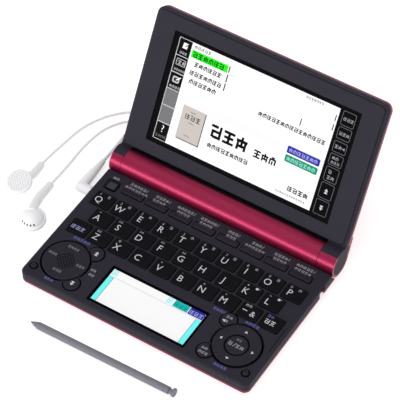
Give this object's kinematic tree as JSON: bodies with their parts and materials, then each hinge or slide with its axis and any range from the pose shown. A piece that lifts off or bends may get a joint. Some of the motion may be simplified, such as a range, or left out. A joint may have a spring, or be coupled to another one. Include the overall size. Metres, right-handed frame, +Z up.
{
  "type": "electronic dictionary",
  "caption": "Clamshell electronic dictionary with keyboard, two touch displays, battery barrel hinge, stylus and plugged-in earphones; the lid, keys, covers and plug move.",
  "frame": {"origin": "centre of the base's flat underside, midway between its sides and 52.75 mm behind its front edge", "axes": "+X to the reader's right, +Y from the reader towards the hinge, +Z up through the keys"},
  "size_m": [0.1941, 0.1747, 0.0899],
  "materials": {
    "case_red": "metallic crimson lacquer",
    "case_dark": "fine satin",
    "key_black": "semi-gloss",
    "key_grey": "semi-gloss",
    "window_black": "gloss",
    "display": "lit display under matt glass",
    "board_green": "solder mask",
    "switch_rubber": "matt",
    "foot_rubber": "matt",
    "steel": "brushed",
    "chrome": "polished",
    "cell_jacket": "printed film on metal",
    "inner_black": "moulded",
    "foil": "thin film",
    "stylus_grey": "satin",
    "nib": "smooth",
    "earphone_white": "smooth",
    "cord_white": "satin",
    "mesh": "perforated"
  },
  "bodies": {
    "base": {"bottom_case": "case_red", "top_case": "case_dark", "hinge_unit_left": "steel", "hinge_unit_right": "steel", "battery_contacts": "steel", "battery_cells": "cell_jacket", "main_board": "board_green", "key_mat": "switch_rubber", "function_key_flex": "foil", "stylus_sleeve": "inner_black", "speaker": "inner_black", "sub_display": "display", "earphone_jack": "inner_black", "usb_socket": "steel", "card_socket": "steel", "rubber_feet": "foot_rubber", "deck_bumpers": "foot_rubber", "case_screws": "steel"},
    "lid": {"lid_shell": "case_red", "lid_frame": "case_dark", "window_plate": "window_black", "main_display": "display", "display_board": "board_green", "display_ribbon": "foil"},
    "battery_door": {"battery_door": "case_red"},
    "card_cover": {"card_cover": "case_dark"},
    "back_row": {"letter_keys_back_row": "key_black"},
    "middle_row": {"letter_keys_middle_row": "key_black"},
    "front_row": {"letter_keys_front_row": "key_black"},
    "shift_key": {"shift_key": "key_black"},
    "delete_key": {"delete_key": "key_black"},
    "function_keys": {"function_keys": "key_grey"},
    "power_key": {"power_key": "key_black"},
    "page_up_key": {"page_up_key": "key_grey"},
    "page_down_key": {"page_down_key": "key_grey"},
    "voice_key": {"voice_key": "key_grey"},
    "back_key": {"back_key": "key_grey"},
    "function_disc": {"function_disc": "key_grey"},
    "cursor_pad": {"cursor_pad": "key_grey"},
    "enter_key": {"enter_key": "key_grey"},
    "stylus": {"stylus_barrel": "stylus_grey", "stylus_nib": "nib"},
    "earphones": {"plug_pin": "chrome", "plug_grip": "earphone_white", "lead_to_coil": "cord_white", "lead_coil": "cord_white", "lead_to_splitter": "cord_white", "cord_splitter": "earphone_white", "branch_outer": "cord_white", "branch_inner": "cord_white", "near_earbud": "earphone_white", "far_earbud": "earphone_white", "earbud_grilles": "mesh"}
  },
  "joints": [
    {"name": "lid_hinge", "type": "hinge", "parent": "base", "child": "lid", "pos_m": [0, 0.0439, 0.0087], "axis": [-1, 0, 0], "range_deg": [-121, 20]},
    {"name": "battery_door_slide", "type": "slide", "parent": "base", "child": "battery_door", "axis": [0, -1, 0], "range_m": [-0.012, 0]},
    {"name": "card_cover_hinge", "type": "hinge", "parent": "base", "child": "card_cover", "pos_m": [0.074, -0.01785, 0.00215], "axis": [0, 1, 0], "range_deg": [0, 90]},
    {"name": "back_row_press", "type": "slide", "parent": "base", "child": "back_row", "axis": [0, 0, 1], "range_m": [-0.0006, 0], "stiffness_N_per_m": 2000, "springref_m": 0.0004},
    {"name": "middle_row_press", "type": "slide", "parent": "base", "child": "middle_row", "axis": [0, 0, 1], "range_m": [-0.0006, 0], "stiffness_N_per_m": 2000, "springref_m": 0.0004},
    {"name": "front_row_press", "type": "slide", "parent": "base", "child": "front_row", "axis": [0, 0, 1], "range_m": [-0.0006, 0], "stiffness_N_per_m": 2000, "springref_m": 0.0004},
    {"name": "function_keys_press", "type": "slide", "parent": "base", "child": "function_keys", "axis": [0, 0, 1], "range_m": [-0.0006, 0], "stiffness_N_per_m": 2000, "springref_m": 0.0004},
    {"name": "shift_key_press", "type": "slide", "parent": "base", "child": "shift_key", "axis": [0, 0, 1], "range_m": [-0.0006, 0], "stiffness_N_per_m": 800, "springref_m": 0.0004},
    {"name": "delete_key_press", "type": "slide", "parent": "base", "child": "delete_key", "axis": [0, 0, 1], "range_m": [-0.0006, 0], "stiffness_N_per_m": 800, "springref_m": 0.0004},
    {"name": "power_key_press", "type": "slide", "parent": "base", "child": "power_key", "axis": [0, 0, 1], "range_m": [-0.0006, 0], "stiffness_N_per_m": 800, "springref_m": 0.0004},
    {"name": "page_up_key_press", "type": "slide", "parent": "base", "child": "page_up_key", "axis": [0, 0, 1], "range_m": [-0.0006, 0], "stiffness_N_per_m": 800, "springref_m": 0.0004},
    {"name": "page_down_key_press", "type": "slide", "parent": "base", "child": "page_down_key", "axis": [0, 0, 1], "range_m": [-0.0006, 0], "stiffness_N_per_m": 800, "springref_m": 0.0004},
    {"name": "voice_key_press", "type": "slide", "parent": "base", "child": "voice_key", "axis": [0, 0, 1], "range_m": [-0.0006, 0], "stiffness_N_per_m": 800, "springref_m": 0.0004},
    {"name": "back_key_press", "type": "slide", "parent": "base", "child": "back_key", "axis": [0, 0, 1], "range_m": [-0.0006, 0], "stiffness_N_per_m": 800, "springref_m": 0.0004},
    {"name": "enter_key_press", "type": "slide", "parent": "base", "child": "enter_key", "axis": [0, 0, 1], "range_m": [-0.0006, 0], "stiffness_N_per_m": 800, "springref_m": 0.0004},
    {"name": "function_disc_rock", "type": "hinge", "parent": "base", "child": "function_disc", "pos_m": [-0.05603, -0.0332, 0.0066], "axis": [1, 0, 0], "range_deg": [-2.4, 2.4], "stiffness_Nm_per_rad": 0.1},
    {"name": "cursor_pad_rock", "type": "hinge", "parent": "base", "child": "cursor_pad", "pos_m": [0.05487, -0.03243, 0.0066], "axis": [1, 0, 0], "range_deg": [-2.4, 2.4], "stiffness_Nm_per_rad": 0.1},
    {"name": "stylus_lift", "type": "slide", "parent": "base", "child": "stylus", "axis": [0, 0, 1], "range_m": [0, 0.03]},
    {"name": "earphone_plug_slide", "type": "slide", "parent": "base", "child": "earphones", "axis": [-1, 0, 0], "range_m": [0, 0.02]}
  ]
}
